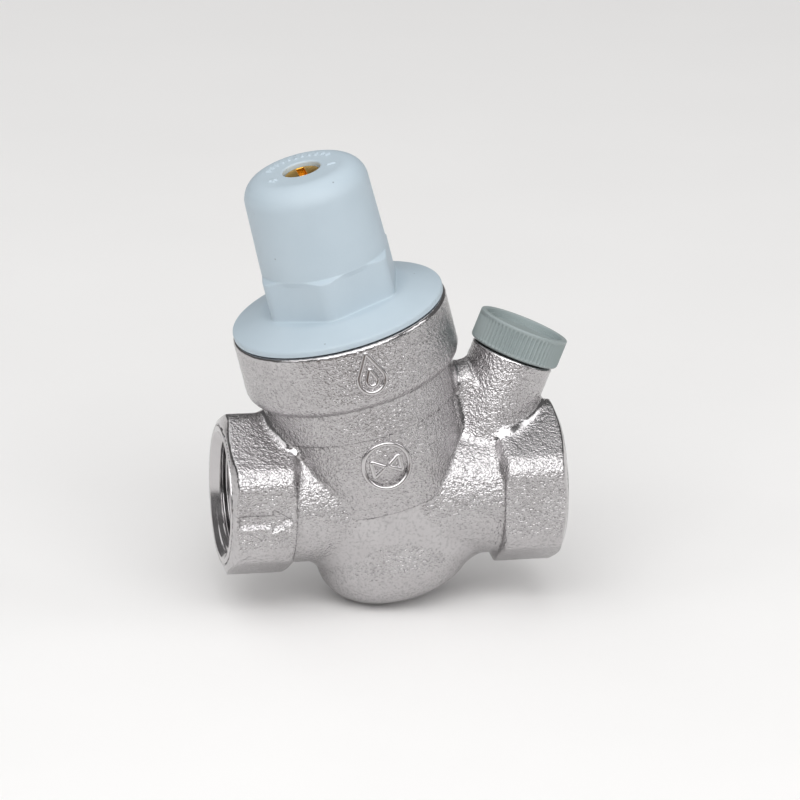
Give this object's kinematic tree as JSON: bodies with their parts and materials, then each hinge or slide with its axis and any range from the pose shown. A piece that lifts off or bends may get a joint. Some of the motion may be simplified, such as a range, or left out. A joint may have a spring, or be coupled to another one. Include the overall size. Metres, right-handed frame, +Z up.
{
  "type": "pressure reducing valve",
  "caption": "Inclined-cartridge pressure reducing valve: hexagon-ended forged body with female threaded ports, nylon bonnet with a slotted adjuster, and a plugged gauge boss.",
  "frame": {"origin": "middle of the pipe run, on the axis of the two threaded ports, halfway between their end faces", "axes": "+X along the pipe run from inlet to outlet, +Z up, with the cartridge leaning back towards the inlet in the XZ plane, +Y to the rear"},
  "size_m": [0.0782, 0.0489, 0.1042],
  "materials": {
    "plated_brass": "nickel plated over a blasted forging, bright where machined",
    "brass": "machined",
    "stainless": "satin",
    "spring_steel": "drawn wire",
    "pale_nylon": "moulded glass-filled nylon",
    "grey_nylon": "moulded glass-filled nylon",
    "acetal": "moulded",
    "rubber": "moulded nitrile"
  },
  "bodies": {
    "housing": {"valve_body": "plated_brass", "main_spring": "spring_steel", "diaphragm": "rubber", "valve_seat": "stainless", "seat_o_ring": "rubber", "cartridge_cage": "acetal", "cage_o_ring": "rubber", "strainer": "stainless"},
    "slip_ring": {"slip_ring": "stainless"},
    "bonnet": {"bonnet": "pale_nylon"},
    "upper_plate": {"upper_spring_plate": "stainless"},
    "adjuster": {"adjusting_screw": "brass"},
    "stem": {"control_stem": "brass", "stem_nut": "brass", "lower_spring_plate": "stainless", "diaphragm_backing_plate": "brass", "seal_retaining_washer": "brass", "obturator_seal": "rubber", "obturator": "brass", "piston_o_ring": "rubber"},
    "plug_seal": {"gauge_plug_seal": "rubber"},
    "plug": {"gauge_plug": "grey_nylon"}
  },
  "joints": [
    {"name": "bonnet_lift", "type": "slide", "parent": "housing", "child": "slip_ring", "axis": [-0.2521, 0, 0.9677], "range_m": [0, 0.009]},
    {"name": "bonnet_turn", "type": "hinge", "parent": "slip_ring", "child": "bonnet", "pos_m": [-0.001, 0, 0], "axis": [-0.2521, 0, 0.9677], "range_deg": [0, 2160]},
    {"name": "adjuster_travel", "type": "slide", "parent": "bonnet", "child": "upper_plate", "axis": [-0.2521, 0, 0.9677], "range_m": [-0.0045, 0.0008], "deforming": ["main_spring"]},
    {"name": "adjuster_turn", "type": "hinge", "parent": "upper_plate", "child": "adjuster", "pos_m": [-0.001, 0, 0], "axis": [-0.2521, 0, 0.9677], "range_deg": [-1080, 192]},
    {"name": "stem_lift", "type": "slide", "parent": "housing", "child": "stem", "axis": [-0.2521, 0, 0.9677], "range_m": [0, 0.0025], "deforming": ["main_spring", "diaphragm"]},
    {"name": "plug_lift", "type": "slide", "parent": "housing", "child": "plug_seal", "axis": [0.381, 0.0924, 0.9199], "range_m": [0, 0.00802]},
    {"name": "plug_turn", "type": "hinge", "parent": "plug_seal", "child": "plug", "pos_m": [0.0205, 0, 0.0112], "axis": [0.381, 0.0924, 0.9199], "range_deg": [0, 2160]}
  ],
  "couplings": [
    {"joint": "bonnet_turn", "follows": "bonnet_lift", "rad_per_m": 4188.8},
    {"joint": "adjuster_turn", "follows": "adjuster_travel", "rad_per_m": 4188.8},
    {"joint": "plug_turn", "follows": "plug_lift", "rad_per_m": 4699.5}
  ]
}
